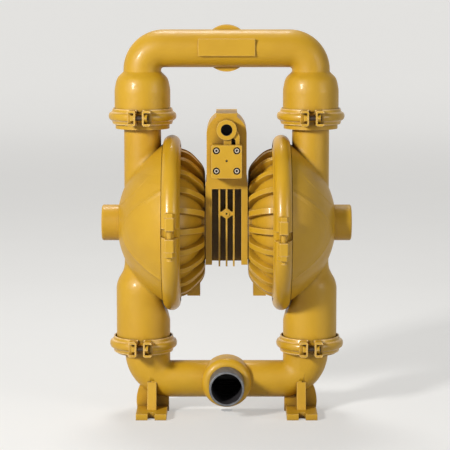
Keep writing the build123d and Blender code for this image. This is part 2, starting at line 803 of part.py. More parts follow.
with BuildPart() as large_bolt_form:
    grip = large_gap / 2 + large_lug_height
    for end in (-1, 1):
        with BuildSketch(Plane.XY.offset(grip)):
            with Locations((0, end * large_bolt_reach)):
                RegularPolygon(large_nut_size / 2, 6, major_radius=False)
        extrude(amount=large_nut_thick - 2)
        with BuildSketch(Plane.XY.offset(grip)):
            with Locations((0, end * large_bolt_reach)):
                Circle(large_bolt_r)
        extrude(amount=-(2 * grip + large_nut_thick + large_bolt_tail))

with BuildPart() as large_nut_form:
    for end in (-1, 1):
        with BuildSketch(Plane.XY.offset(-grip)):
            with Locations((0, end * large_bolt_reach)):
                RegularPolygon(large_nut_size / 2, 6, major_radius=False)
                Circle(large_bolt_r + slip, mode=Mode.SUBTRACT)
        extrude(amount=-large_nut_thick)

large_clamp_places = []
for hand, side, turn in (("left", -1, 0), ("right", 1, large_turn)):
    ring_center = (side * chamber_joint, 0, shaft_height)
    for half, half_turn in (("upper", 0), ("lower", 180)):
        with BuildPart() as clamp_half:
            with Locations(Location(ring_center, (turn + half_turn, 0, 0))):
                add(large_half_form.part)
        save(clamp_half, f"{hand}_large_clamp_{half}")
    large_clamp_places.append(Location(ring_center, (turn, 0, 0)))

with BuildPart() as large_clamp_bolts:
    with Locations(*large_clamp_places):
        add(large_bolt_form.part)
save(large_clamp_bolts, "large_clamp_bolts")

with BuildPart() as large_clamp_nuts:
    with Locations(*large_clamp_places):
        add(large_nut_form.part)
save(large_clamp_nuts, "large_clamp_nuts")


# ---- Air chambers: cast bowls with a crown of ribs on the side of the centre block ----
rim_face = chamber_joint - diaphragm_rim / 2
rim_root = chamber_joint - vee_half(large_tip_r, large_tip_half, large_root_r)



def bowl_curve(*steps):
    """Points of a bowl's profile from steps inwards along X and along the radius off the rim."""
    return [(rim_root - step_x, large_root_r - step_r) for step_x, step_r in steps]


rib_crest = bowl_curve((5, 6), (20.2, 12.5), (33.3, 25), (41, 34.4), (45, 44))
bowl_outside = bowl_curve((4, 15), (19.5, 26), (31, 41), (39, 60))
bowl_inside = bowl_curve((0, 18), (14, 31.5), (25, 47), (32.5, 64))
rib_foot = bowl_curve((1, 18), (15.5, 29), (27.5, 44), (37.5, 74))
floor_x = air_face + floor_thick

with BuildPart() as air_rib:
    with BuildSketch(shaft_section):
        with BuildLine():
            Line((rim_root - 1, rib_crest[0][1]), rib_crest[0])
            Spline(*rib_crest)
            Polyline(
                rib_crest[-1], (air_face, floor_r + rib_reach), (air_face, rib_foot[-1][1]),
                *reversed(rib_foot), (rim_root - 1, rib_crest[0][1]),
            )
        make_face()
    extrude(amount=rib_thick / 2, both=True)

with BuildPart() as right_air_chamber:
    with BuildSketch(shaft_section):
        with BuildLine():
            Polyline(
                (rim_face, 0), (rim_face, large_tip_r), (chamber_joint - large_tip_half, large_tip_r),
                (rim_root, large_root_r), (rim_root - 5, large_root_r - 5), bowl_outside[0],
            )
            Spline(*bowl_outside)
            Polyline(
                bowl_outside[-1], (air_face + floor_rim, floor_r), (air_face, floor_r),
                (air_face, 0), (rim_face, 0),
            )
        make_face()
    revolve(axis=shaft_axis)
    for number in range(rib_count):
        add(air_rib.part.rotate(shaft_axis, 360 / rib_count * (number + 0.5)))
    # cast block at the bottom
    with BuildSketch(Plane.YZ.offset(lug_inner)):
        with Locations((0, shaft_height - (lug_drop + floor_r) / 2)):
            Rectangle(2 * lug_half_width, lug_drop - floor_r)
    extrude(amount=lug_outer - lug_inner)
    # the bowl behind the diaphragm
    with BuildSketch(shaft_section):
        with BuildLine():
            Polyline((floor_x, 0), (rim_face, 0), (rim_face, convolution_outer + 1), bowl_inside[0])
            Spline(*bowl_inside)
            Polyline(bowl_inside[-1], (floor_x, floor_r - 4), (floor_x, 0))
        make_face()
    revolve(axis=shaft_axis, mode=Mode.SUBTRACT)
    with BuildSketch(shaft_section):
        with Locations((rim_face, bead_center)):
            Circle(bead_r + slip)
    revolve(axis=shaft_axis, mode=Mode.SUBTRACT)
    with BuildSketch(Plane.YZ.offset(air_face)):
        with Locations((0, shaft_height)):
            Circle(shaft_hole_r)
            with GridLocations(2 * chamber_screw_y, 2 * chamber_screw_z, 2, 2):
                Circle(chamber_screw_r + seat_gap)
    extrude(amount=floor_thick, mode=Mode.SUBTRACT)
save_pair(right_air_chamber, "air_chamber")

with BuildPart() as right_chamber_gasket:
    with BuildSketch(Plane.YZ.offset(block_half_width)):
        with Locations((0, shaft_height)):
            Circle(floor_r - 2)
            Circle(bushing_r + 1, mode=Mode.SUBTRACT)
            with GridLocations(2 * chamber_screw_y, 2 * chamber_screw_z, 2, 2):
                Circle(chamber_screw_r + seat_gap, mode=Mode.SUBTRACT)
    extrude(amount=air_face - block_half_width)
save_pair(right_chamber_gasket, "chamber_gasket")

with BuildPart() as chamber_screws:
    screw_tip = block_half_width - column_width + 1
    with BuildSketch(Plane.YZ.offset(floor_x)):
        with Locations((0, shaft_height)):
            with GridLocations(2 * chamber_screw_y, 2 * chamber_screw_z, 2, 2):
                Circle(chamber_screw_head_r)
                RegularPolygon(chamber_screw_r * 0.75, 6, mode=Mode.SUBTRACT)
    extrude(amount=chamber_screw_head)
    with BuildSketch(Plane.YZ.offset(screw_tip)):
        with Locations((0, shaft_height)):
            with GridLocations(2 * chamber_screw_y, 2 * chamber_screw_z, 2, 2):
                Circle(chamber_screw_r)
    extrude(amount=floor_x + 3 - screw_tip)
    mirror(about=Plane.YZ)
save(chamber_screws, "chamber_screws")


# ---- Centre block: finned casting between the air chambers, with the valve's arched back ----
with BuildPart() as center_block:
    column_x = block_half_width - column_width / 2
    # two side plates, the top bar, the core round the shaft and three fins
    with BuildSketch(Plane.XY.offset(block_top)):
        with Locations((-column_x, 0), (column_x, 0)):
            Rectangle(column_width, 2 * block_front)
    extrude(amount=-(block_top - block_bottom))
    with BuildSketch(Plane.XY.offset(block_top)):
        Rectangle(2 * block_half_width, 2 * block_front)
    extrude(amount=-block_bar)
    with BuildSketch(Plane.XY.offset(block_top)):
        Rectangle(2 * column_x, 2 * core_half_depth)
    extrude(amount=-(block_height - core_lift))
    with BuildSketch(Plane.XY.offset(block_top - block_bar)):
        with GridLocations(fin_pitch, 0, 3, 1):
            Rectangle(fin_thick, 2 * fin_front)
    extrude(amount=-(block_top - block_bar - block_bottom + fin_drop))
    # diamond boss on the middle fin, with arms to its neighbours
    with BuildSketch(Plane.XZ.offset(fin_front)):
        with Locations((0, shaft_height + diamond_rise)):
            Polygon(
                (-diamond_width / 2, 0), (0, diamond_height / 2),
                (diamond_width / 2, 0), (0, -diamond_height / 2), align=None,
            )
            Rectangle(2 * fin_pitch, diamond_height / 3)
    extrude(amount=-(block_front - core_half_depth) / 3)
    with BuildSketch(Plane.XZ.offset(fin_front)):
        with Locations((0, shaft_height + diamond_rise)):
            Circle(diamond_ring_r)
    extrude(amount=1)
    with BuildSketch(Plane.XZ.offset(fin_front + 1)):
        with Locations((0, shaft_height + diamond_rise)):
            Circle(diamond_hole_r)
    extrude(amount=-diamond_hole_depth, mode=Mode.SUBTRACT)
    # arched back that carries the air valve
    with BuildSketch(Plane.XZ.offset(block_front)):
        with Locations((0, (block_top + arch_center) / 2)):
            Rectangle(2 * arch_r, arch_center - block_top)
        with Locations((0, arch_center)):
            Circle(arch_r)
        with Locations((0, (arch_center + arch_pad_top) / 2)):
            Rectangle(arch_pad_width, arch_pad_top - arch_center)
    extrude(amount=-(block_front + arch_rear))
    # exhaust port on the rear
    with BuildSketch(Plane.XZ.offset(-arch_rear)):
        with Locations((0, exhaust_z)):
            Circle(exhaust_r)
    extrude(amount=-(exhaust_reach - arch_rear))
    with BuildSketch(Plane.XZ.offset(-exhaust_reach)):
        with Locations((0, exhaust_z)):
            Circle(exhaust_bore_r)
    extrude(amount=exhaust_depth, mode=Mode.SUBTRACT)
    # shaft bore, chamber screw threads and valve screw threads
    with BuildSketch(Plane.YZ):
        with Locations((0, shaft_height)):
            Circle(bushing_r + slip)
    extrude(amount=block_half_width, both=True, mode=Mode.SUBTRACT)
    with BuildSketch(Plane.YZ):
        with Locations((0, shaft_height)):
            with GridLocations(2 * chamber_screw_y, 2 * chamber_screw_z, 2, 2):
                Circle(chamber_screw_r + slip)
    extrude(amount=block_half_width, both=True, mode=Mode.SUBTRACT)
    with BuildSketch(Plane.XZ.offset(block_front)):
        with Locations((0, screw_square_z)):
            with GridLocations(screw_square, screw_square, 2, 2):
                Circle(valve_screw_r + slip)
    extrude(amount=-(valve_screw_depth + 2), mode=Mode.SUBTRACT)
    with BuildSketch(Plane.XZ.offset(block_front)):
        with Locations((0, air_passage_low), (0, air_passage_high)):
            Circle(air_passage_r)
    extrude(amount=-air_passage_depth, mode=Mode.SUBTRACT)
save(center_block, "center_block")


# ---- Air valve: body with inlet port, spool, end cap, snap ring, gasket and screws ----
valve_back = block_front + gasket_thick
cap_bottom = valve_bottom + 2 * snap_ring_thick
cap_top = cap_bottom + cap_height
bore_top = cap_top + seat_gap + piston_length + piston_travel + 1

with BuildPart() as air_valve_body:
    with BuildSketch(Plane.XZ.offset(valve_back)):
        with Locations((0, (valve_bottom + valve_top) / 2)):
            RectangleRounded(valve_width, valve_top - valve_bottom, valve_round)
    extrude(amount=valve_front - valve_back)
    with BuildSketch(Plane.XZ.offset(valve_back)):
        with Locations((port_neck_x, (valve_top - valve_round + air_port_z) / 2)):
            Rectangle(port_neck_width, air_port_z - valve_top + valve_round)
        Polygon(
            (web_inner_x, valve_top - valve_round), (web_outer_x, valve_top - valve_round),
            (web_outer_x, valve_top + web_shoulder), (air_port_r, air_port_z),
            (0, air_port_z), (web_inner_x, valve_top + web_shoulder / 2), align=None,
        )
    extrude(amount=port_neck_front - valve_back)
    with BuildSketch(Plane.XZ.offset(valve_back)):
        with Locations((0, air_port_z)):
            Circle(air_port_r)
    extrude(amount=air_port_front - valve_back)
    with BuildSketch(Plane.XZ.offset(air_port_front)):
        with Locations((0, air_port_z)):
            Circle(air_port_bore_r)
    extrude(amount=-air_port_depth, mode=Mode.SUBTRACT)
    # spool bore, its feed from the port, and the recess for cap and snap ring
    with BuildSketch(Plane.XY.offset(valve_bottom)):
        with Locations((0, -piston_y)):
            Circle(piston_r + running)
    extrude(amount=bore_top - valve_bottom, mode=Mode.SUBTRACT)
    with BuildSketch(Plane.XY.offset(valve_bottom)):
        with Locations((0, -piston_y)):
            Circle(air_passage_r)
    extrude(amount=air_port_z - valve_bottom, mode=Mode.SUBTRACT)
    with BuildSketch(Plane.XY.offset(valve_bottom)):
        with Locations((0, -piston_y)):
            Circle(cap_r + slip)
    extrude(amount=cap_top - valve_bottom, mode=Mode.SUBTRACT)
    with BuildSketch(Plane.XY.offset(cap_bottom - snap_ring_thick - slip)):
        with Locations((0, -piston_y)):
            Circle(snap_ring_r + slip)
    extrude(amount=snap_ring_thick + slip, mode=Mode.SUBTRACT)
    with BuildSketch(Plane.XZ.offset(valve_back)):
        with Locations((0, air_passage_low), (0, air_passage_high)):
            Circle(air_passage_r)
    extrude(amount=piston_y - valve_back, mode=Mode.SUBTRACT)
    # counterbored screw holes and the small centre hole
    with Locations(Plane.XZ.offset(valve_front) * Location((0, screw_square_z, 0))):
        with GridLocations(screw_square, screw_square, 2, 2):
            CounterBoreHole(
                valve_screw_r + seat_gap, valve_screw_head_r + valve_screw_play,
                valve_screw_head + valve_screw_sink,
            )
        Hole(bleed_hole_r, depth=valve_front - piston_y)
save(air_valve_body, "air_valve_body")

with BuildPart() as air_valve_gasket:
    with BuildSketch(Plane.XZ.offset(block_front)):
        with Locations((0, (valve_bottom + valve_top) / 2)):
            RectangleRounded(valve_width - 2, valve_top - valve_bottom - 2, valve_round)
        with Locations((0, air_port_z)):
            Circle(air_port_r - 1)
        with Locations((port_neck_x, (valve_top - valve_round + air_port_z) / 2)):
            Rectangle(port_neck_width - 2, air_port_z - valve_top + valve_round)
        with Locations((0, screw_square_z)):
            with GridLocations(screw_square, screw_square, 2, 2):
                Circle(valve_screw_r + seat_gap, mode=Mode.SUBTRACT)
        with Locations((0, air_passage_low), (0, air_passage_high)):
            Circle(air_passage_r, mode=Mode.SUBTRACT)
    extrude(amount=gasket_thick)
save(air_valve_gasket, "air_valve_gasket")

with BuildPart() as air_valve_screws:
    head_back = valve_front - valve_screw_head - valve_screw_sink
    with BuildSketch(Plane.XZ.offset(head_back)):
        with Locations((0, screw_square_z)):
            with GridLocations(screw_square, screw_square, 2, 2):
                Circle(valve_screw_head_r)
    extrude(amount=valve_screw_head)
    chamfer(faces().sort_by(Axis.Y)[0:4].edges(), valve_screw_bevel)
    with BuildSketch(Plane.XZ.offset(head_back + valve_screw_head)):
        with Locations((0, screw_square_z)):
            with GridLocations(screw_square, screw_square, 2, 2):
                RegularPolygon(valve_screw_r * 0.85, 6)
    extrude(amount=-valve_screw_head / 2, mode=Mode.SUBTRACT)
    with BuildSketch(Plane.XZ.offset(head_back)):
        with Locations((0, screw_square_z)):
            with GridLocations(screw_square, screw_square, 2, 2):
                Circle(valve_screw_r)
    extrude(amount=-(head_back - block_front + valve_screw_depth))
save(air_valve_screws, "air_valve_screws")

spool_plane = Plane(origin=(0, -piston_y, 0), x_dir=(1, 0, 0), z_dir=(0, -1, 0))
spool_axis = Axis((0, -piston_y, 0), (0, 0, 1))
spool_bottom = cap_top + seat_gap
spool_top = spool_bottom + piston_length

with BuildPart() as air_valve_piston:
    with BuildSketch(spool_plane):
        with BuildLine():
            Polyline(
                (0, spool_bottom), (piston_r - 1, spool_bottom), (piston_r, spool_bottom + 1),
                (piston_r, spool_bottom + spool_land), (spool_neck_r, spool_bottom + spool_land),
                (spool_neck_r, spool_top - spool_land), (piston_r, spool_top - spool_land),
                (piston_r, spool_top - 1), (piston_r - 1, spool_top), (0, spool_top), close=True,
            )
        make_face()
    revolve(axis=spool_axis)
save(air_valve_piston, "air_valve_piston")

cap_groove_r = cap_r - 2 * cap_ring_r - slip
cap_ring_z = (cap_bottom + cap_top) / 2
with BuildPart() as air_valve_end_cap:
    with BuildSketch(spool_plane):
        with BuildLine():
            Polyline(
                (0, cap_bottom), (cap_r, cap_bottom), (cap_r, cap_ring_z - cap_ring_r - slip),
                (cap_groove_r, cap_ring_z - cap_ring_r - slip),
                (cap_groove_r, cap_ring_z + cap_ring_r + slip),
                (cap_r, cap_ring_z + cap_ring_r + slip), (cap_r, cap_top), (0, cap_top), close=True,
            )
        make_face()
    revolve(axis=spool_axis)
save(air_valve_end_cap, "air_valve_end_cap")

with BuildPart() as air_valve_cap_ring:
    with Locations((0, -piston_y, cap_ring_z)):
        Torus(cap_r - cap_ring_r, cap_ring_r)
save(air_valve_cap_ring, "air_valve_cap_ring")

with BuildPart() as air_valve_snap_ring:
    with BuildSketch(Plane.XY.offset(cap_bottom)):
        with Locations((0, -piston_y)):
            Circle(snap_ring_r)
            Circle(snap_ring_r - snap_ring_width, mode=Mode.SUBTRACT)
        with Locations((0, -piston_y + snap_ring_r)):
            Rectangle(snap_ring_opening, snap_ring_r, mode=Mode.SUBTRACT)
    extrude(amount=-snap_ring_thick)
save(air_valve_snap_ring, "air_valve_snap_ring")


# ---- Shaft, its bushing and seals ----
with BuildPart() as main_shaft:
    shaft_half = rim_face - inner_piston_hub
    with BuildSketch(Plane.YZ):
        with Locations((0, shaft_height)):
            Circle(shaft_r)
    extrude(amount=shaft_half, both=True)
    with BuildSketch(Plane.YZ.offset(shaft_half)):
        with Locations((0, shaft_height)):
            Circle(stud_r + slip)
    extrude(amount=-(stud_in_shaft + 1), mode=Mode.SUBTRACT)
    with BuildSketch(Plane.YZ.offset(-shaft_half)):
        with Locations((0, shaft_height)):
            Circle(stud_r + slip)
    extrude(amount=stud_in_shaft + 1, mode=Mode.SUBTRACT)
save(main_shaft, "main_shaft")

with BuildPart() as shaft_studs:
    with BuildSketch(Plane.YZ.offset(shaft_half - stud_in_shaft)):
        with Locations((0, shaft_height)):
            Circle(stud_r)
    extrude(amount=stud_length)
    mirror(about=Plane.YZ)
save(shaft_studs, "shaft_studs")

with BuildPart() as shaft_bushing:
    with BuildSketch(Plane.YZ):
        with Locations((0, shaft_height)):
            Circle(bushing_r)
            Circle(shaft_r + running, mode=Mode.SUBTRACT)
    extrude(amount=bushing_half, both=True)
save(shaft_bushing, "shaft_bushing")

with BuildPart() as shaft_seals:
    with BuildSketch(Plane.YZ.offset(bushing_half + slip)):
        with Locations((0, shaft_height)):
            Circle(bushing_r)
            Circle(shaft_r + running, mode=Mode.SUBTRACT)
    extrude(amount=air_face - bushing_half - 2 * slip)
    mirror(about=Plane.YZ)
save(shaft_seals, "shaft_seals")


# ---- Diaphragms and the pistons that grip them ----
with BuildPart() as right_diaphragm:
    half = diaphragm_rim / 2
    trough = (convolution_inner + convolution_outer) / 2
    with BuildSketch(shaft_section):
        with BuildLine():
            Polyline(
                (chamber_joint - half, convolution_outer), (chamber_joint - half, diaphragm_r),
                (chamber_joint + half, diaphragm_r), (chamber_joint + half, convolution_outer),
            )
            ThreePointArc(
                (chamber_joint + half, convolution_outer),
                (chamber_joint + half - convolution_depth, trough),
                (chamber_joint + half, convolution_inner),
            )
            Polyline(
                (chamber_joint + half, convolution_inner), (chamber_joint + half, stud_r + slip),
                (chamber_joint - half, stud_r + slip), (chamber_joint - half, convolution_inner),
            )
            ThreePointArc(
                (chamber_joint - half, convolution_inner),
                (chamber_joint - half - convolution_depth, trough),
                (chamber_joint - half, convolution_outer),
            )
        make_face()
        with Locations((chamber_joint - half, bead_center), (chamber_joint + half, bead_center)):
            Circle(bead_r)
    revolve(axis=shaft_axis)
save_pair(right_diaphragm, "diaphragm")

with BuildPart() as right_outer_piston:
    start = chamber_joint + diaphragm_rim / 2
    with BuildSketch(shaft_section):
        with BuildLine():
            Polyline(
                (start, stud_r + slip), (start, outer_piston_r - 2), (start + 2, outer_piston_r),
                (start + outer_piston_thick - 3, outer_piston_r),
            )
            Spline(
                (start + outer_piston_thick - 3, outer_piston_r),
                (start + outer_piston_thick + 3, outer_piston_r - 14),
                (start + outer_piston_hub, outer_piston_hub_r - 6),
                tangents=((1, -0.2), (0.2, -1)),
            )
            Polyline(
                (start + outer_piston_hub, outer_piston_hub_r - 6), (start + outer_piston_hub, 0),
                (start + stud_length - stud_in_shaft - inner_piston_hub - diaphragm_rim + 1, 0),
                (start + stud_length - stud_in_shaft - inner_piston_hub - diaphragm_rim + 1,
                 stud_r + slip),
                (start, stud_r + slip),
            )
        make_face()
    revolve(axis=shaft_axis)
save_pair(right_outer_piston, "outer_piston")

with BuildPart() as right_inner_piston:
    with BuildSketch(shaft_section):
        with BuildLine():
            Polyline(
                (rim_face, stud_r + slip), (rim_face, inner_piston_r - 2),
                (rim_face - 2, inner_piston_r), (rim_face - inner_piston_thick, inner_piston_r - 4),
                (rim_face - inner_piston_thick - 2, inner_piston_hub_r + 3),
                (rim_face - inner_piston_hub, inner_piston_hub_r),
                (rim_face - inner_piston_hub, stud_r + slip), close=True,
            )
        make_face()
    revolve(axis=shaft_axis)
save_pair(right_inner_piston, "inner_piston")
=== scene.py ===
"""Looks of an air operated diaphragm pump, in the order in which the pump is put together."""

import math

import bpy
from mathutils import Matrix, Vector


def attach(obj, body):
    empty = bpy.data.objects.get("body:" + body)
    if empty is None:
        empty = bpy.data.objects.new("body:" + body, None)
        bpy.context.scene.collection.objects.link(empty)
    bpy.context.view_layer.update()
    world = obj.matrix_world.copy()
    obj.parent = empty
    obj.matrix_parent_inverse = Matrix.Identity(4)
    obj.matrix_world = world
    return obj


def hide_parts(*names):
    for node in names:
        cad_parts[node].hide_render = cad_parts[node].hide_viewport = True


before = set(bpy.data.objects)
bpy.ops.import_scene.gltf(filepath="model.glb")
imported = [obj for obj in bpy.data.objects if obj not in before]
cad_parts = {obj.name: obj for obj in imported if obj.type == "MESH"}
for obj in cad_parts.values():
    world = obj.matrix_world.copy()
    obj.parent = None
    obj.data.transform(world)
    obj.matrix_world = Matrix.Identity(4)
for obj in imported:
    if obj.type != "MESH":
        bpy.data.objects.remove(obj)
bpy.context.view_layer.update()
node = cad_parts


# ---------------------------------------------------------------------------------------------
# Inlet manifold: one iron sand casting with a tee, two elbows and two slotted feet. It is shot
# blasted and sprayed with satin mustard enamel; painted shade with some grime darkens its corners
# and painted highlight with some wear lightens its edges.
# ---------------------------------------------------------------------------------------------
class Signal:
    """A node's output that takes part in sums: an expression on values adds its Math nodes."""

    def __init__(self, tree, socket=None):
        self.tree = tree
        self.socket = socket

    def node(self, kind, inputs, output=0, **settings):
        """Adds any other node: its settings first, then the values or links of its sockets.

        A list links several outputs to one socket."""
        made = self.tree.nodes.new(kind if "Node" in kind else "ShaderNode" + kind)
        for setting, value in settings.items():
            setattr(made, setting, value)
        for socket, given in inputs.items():
            for value in given if isinstance(given, list) else [given]:
                if isinstance(value, Signal):
                    self.tree.links.new(value.socket, made.inputs[socket])
                else:
                    made.inputs[socket].default_value = value
        return Signal(self.tree, made.outputs[output] if made.outputs else None)

    def beside(self, output):
        """Another output of the same node."""
        return Signal(self.tree, self.socket.node.outputs[output])

    def math(self, operation, other=0.0):
        return self.node("Math", {0: self, 1: other}, operation=operation)

    def __add__(self, other):
        return self.math("ADD", other)

    def __sub__(self, other):
        return self.math("SUBTRACT", other)

    def __mul__(self, other):
        return self.math("MULTIPLY", other)

    def __truediv__(self, other):
        return self.math("DIVIDE", other)

    def __rsub__(self, other):
        return self.node("Math", {0: other, 1: self}, operation="SUBTRACT")

    __radd__ = __add__
    __rmul__ = __mul__

    def part(self, axis):
        """The x, y or z of a vector."""
        return self.node("SeparateXYZ", {0: self}, output="XYZ".index(axis))

    def noise(self, scale, detail=2.0, roughness=0.5):
        return self.node("TexNoise", {"Vector": self, "Scale": scale, "Detail": detail,
                                      "Roughness": roughness})

    def within(self, low, high):
        """0 below low, 1 above high and straight between."""
        return self.node("MapRange", {0: self, 1: low, 2: high})

    def tint(self, base, other):
        """One colour where the mask is 0, the other where it is 1."""
        return self.node("Mix", {0: self, 6: base, 7: other}, output=2, data_type="RGBA")


def new_finish(name):
    """An empty material and the Object coordinates that its pattern follows."""
    finish = bpy.data.materials.new(name)
    finish.use_nodes = True
    finish.node_tree.nodes.clear()
    start = Signal(finish.node_tree)
    return finish, start.node("TexCoord", {}, output="Object")


def close_finish(place, **sockets):
    """Ends a material with one shader, whose sockets are named with underscores for spaces."""
    named = {key.replace("_", " "): value for key, value in sockets.items()}
    place.node("OutputMaterial", {"Surface": place.node("BsdfPrincipled", named)})


def rounded(place, radius, samples=4):
    """The normal that edges would have if they were rounded."""
    return place.node("Bevel", {"Radius": radius}, samples=samples)


def bored(place, along, first, second, radius, low, high):
    """1 in a bore round a line along X or Y, at first and second on the other two axes."""
    across = "YZ" if along == "X" else "XZ"
    beside = place.part(across[0]) - first
    over = place.part(across[1]) - second
    run = place.part(along)
    inside = (beside * beside + over * over).math("LESS_THAN", radius * radius)
    return inside * run.math("GREATER_THAN", low) * run.math("LESS_THAN", high)


def painted(name, grain, edge, edge_highlight_and_wear_level, bores=(), pitch=0.0021, blend=None, relief=None, gloss=0.0,
            corner=0.022):
    """Mustard enamel: grain is the depth of the casting skin, edge the radius of its edges.

    The bores are bare iron, painted near black as painted shade deep in them, and carry a thread
    of that pitch. Blend is where a broad fillet softens the casting, relief the height in metres
    of what stands out of it too little for its solid, gloss what its coat has more than plain
    enamel, and corner how far the painted shade, with some grime, reaches into corners. Edges are
    painted paler, as painted highlight with some wear."""
    enamel = (0.575, 0.326, 0.014, 1)
    shade = (0.510, 0.278, 0.011, 1)
    # painted shade, with some grime, for corners
    corner_shade_and_grime = (0.075, 0.026, 0.005, 1)
    # painted highlight, with some wear, for edges
    edge_highlight_and_wear = (0.800, 0.540, 0.220, 1)
    # bare iron, as dark as painted shade, for the bores
    bare = (0.016, 0.013, 0.012, 1)
    finish, place = new_finish(name)
    soft = rounded(place, edge)
    if blend:
        broad = rounded(place, 0.014, 8)
        soft = place.node("Mix", {0: blend(place), 4: soft, 5: broad}, output=1,
                          data_type="VECTOR")
    corners = place.node("AmbientOcclusion", {"Distance": corner}, output="AO", samples=8)
    ridges = place.node("AmbientOcclusion", {"Distance": 0.0026}, output="AO", samples=6,
                        inside=True, only_local=True)
    blotches = place.noise(9.0, 3.0, 0.6)
    skin = place.noise(260.0, 3.0, 0.62)
    waves = place.noise(38.0, 2.0, 0.5)
    scuffs = place.noise(120.0, 5.0, 0.7)
    body = blotches.within(0.35, 0.68).tint(enamel, shade)
    # edges painted paler: painted highlight, with some wear
    edge_highlight_and_wear_mask = (1 - ridges).within(0.22, 0.62) * (0.35 + scuffs.within(0.40, 0.60) * 0.65) * edge_highlight_and_wear_level
    # corners painted dark: painted shade, with some grime
    corner_shade_and_grime_mask = (1 - corners).within(0.28, 0.82) * (0.65 + scuffs * 0.4)
    colour = corner_shade_and_grime_mask.tint(edge_highlight_and_wear_mask.tint(body, edge_highlight_and_wear), corner_shade_and_grime)
    surface = skin * 0.45 + waves * 1.6
    if relief:
        surface = surface + relief(place) / grain
    roughness = (0.36 - gloss) + skin * 0.14 + blotches * 0.08
    if bores:
        # bores painted near black: bare iron, and painted shade deep in them
        inside = sum(bored(place, *bore) for bore in bores).within(0.0, 1.0)
        colour = inside.tint(colour, bare)
        turns = place.part("Y") * (2 * math.pi / pitch)
        surface = surface + inside * turns.math("SINE") * 1.5
        roughness = roughness + inside * 0.3
    bump = place.node("Bump", {"Strength": 1.0, "Distance": grain, "Height": surface,
                               "Normal": soft})
    close_finish(place, Base_Color=colour, Roughness=roughness, Specular_IOR_Level=0.42,
                 Coat_Weight=0.10 + gloss, Coat_Roughness=0.12, Normal=bump)
    return finish


def dress(finish, *names):
    """Gives CAD nodes a finish."""
    for name in names:
        mesh = node[name].data
        mesh.materials.clear()
        mesh.materials.append(finish)


# each bore: the axis it follows, where that lies on the other two, its radius and its two ends
inlet_height = 0.0566
inlet_bores = (("X", 0, inlet_height, 0.0275, -0.11, 0.11),
               ("Y", 0, inlet_height, 0.0296, -0.0455, 0.0))


def inlet_elbows(place):
    """1 where the elbows turn up into their necks, which the moulder blended."""
    rise = place.part("Z")
    out = place.part("X").math("ABSOLUTE")
    return rise.within(0.060, 0.068) * (1 - rise.within(0.104, 0.107)) * out.within(0.085, 0.095)


inlet_enamel = painted("inlet_enamel", 0.00055, 0.0016, 0.6, inlet_bores, blend=inlet_elbows)
dress(inlet_enamel, "inlet_manifold")

# the cheeks of each neck, front and rear: closed strips that run flush with the neck's round from
# its inner side to the crest of the bend. Each level is a height and where the crest lies there.
neck_round = 0.0320
neck_round_x = 0.1305
cheek_start_x = 0.1215
cheek_thickness = 0.004
cheek_proud = 0.00004
cheek_edge_sunk = 0.0004
cheek_levels = ((0.0590, 0.1335), (0.0665, 0.1345), (0.0750, 0.1385), (0.0850, 0.1435),
                (0.0950, 0.1470), (0.1040, 0.1480), (0.1120, 0.1480))
cheek_steps = 12
row_length = 2 * (cheek_steps + 1)
corners = []
faces = []
for side, front in ((-1, -1), (-1, 1), (1, -1), (1, 1)):
    first = len(corners)
    for height, crest_x in cheek_levels:
        for step in range(cheek_steps + 1):
            x = cheek_start_x + (crest_x - cheek_start_x) * step / cheek_steps
            fall = max(0.0, neck_round_x - x)
            sunk = cheek_edge_sunk if step in (0, cheek_steps) else -cheek_proud
            out = math.sqrt(neck_round ** 2 - fall ** 2) - sunk
            corners.append((side * x, front * out, height))
            corners.append((side * x, front * (out - cheek_thickness), height))
    last = first + row_length * (len(cheek_levels) - 1)
    cheek = []
    for a in range(first, last, row_length):
        for b in range(a, a + row_length - 2, 2):
            cheek.append((b, b + 2, b + row_length + 2, b + row_length))
            cheek.append((b + 1, b + row_length + 1, b + row_length + 3, b + 3))
        cheek.append((a, a + row_length, a + row_length + 1, a + 1))
        b = a + row_length - 2
        cheek.append((b, b + 1, b + row_length + 1, b + row_length))
    for step in range(0, row_length - 2, 2):
        a = first + step
        b = last + step
        cheek.append((a, a + 1, a + 3, a + 2))
        cheek.append((b, b + 2, b + 3, b + 1))
    faces += cheek if side * front < 0 else [face[::-1] for face in cheek]
cheek_mesh = bpy.data.meshes.new("inlet_neck_cheeks")
cheek_mesh.from_pydata(corners, [], faces)
for face in cheek_mesh.polygons:
    face.use_smooth = abs(face.normal.z) < 0.5  # all but the flat ends
cheek_mesh.materials.append(painted("cheek_enamel", 0.00055, 0.0002, 0.0))
neck_cheeks = bpy.data.objects.new("inlet_neck_cheeks", cheek_mesh)
bpy.context.collection.objects.link(neck_cheeks)
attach(neck_cheeks, "root")


# ---------------------------------------------------------------------------------------------
# Inlet nipple: a length of 2 inch steel pipe, hot dip galvanised, turned to a clean end and
# screwed into the front of the tee. Its zinc is mottled, dull and a little scratched.
# ---------------------------------------------------------------------------------------------
zinc_light = (0.220, 0.225, 0.235, 1)
zinc_dark = (0.105, 0.108, 0.115, 1)
zinc_worn = (0.42, 0.42, 0.42, 1)
bore_painted_shade = (0.020, 0.017, 0.019, 1)
galvanized, place = new_finish("galvanized_pipe")
soft = rounded(place, 0.0008)
sharp = place.node("NewGeometry", {}, output="Normal")
along = place.node("VectorMath", {0: soft, 1: sharp}, output="Value", operation="DOT_PRODUCT")
edges = (1 - along).within(0.01, 0.22)
spangle = place.node("TexVoronoi", {"Vector": place, "Scale": 130.0}, output="Distance")
mottle = place.noise(45.0, 4.0, 0.6)
scratches = place.noise(700.0, 2.0, 0.6)
zinc = (mottle * 0.7 + spangle * 0.5).within(0.25, 0.85).tint(zinc_dark, zinc_light)
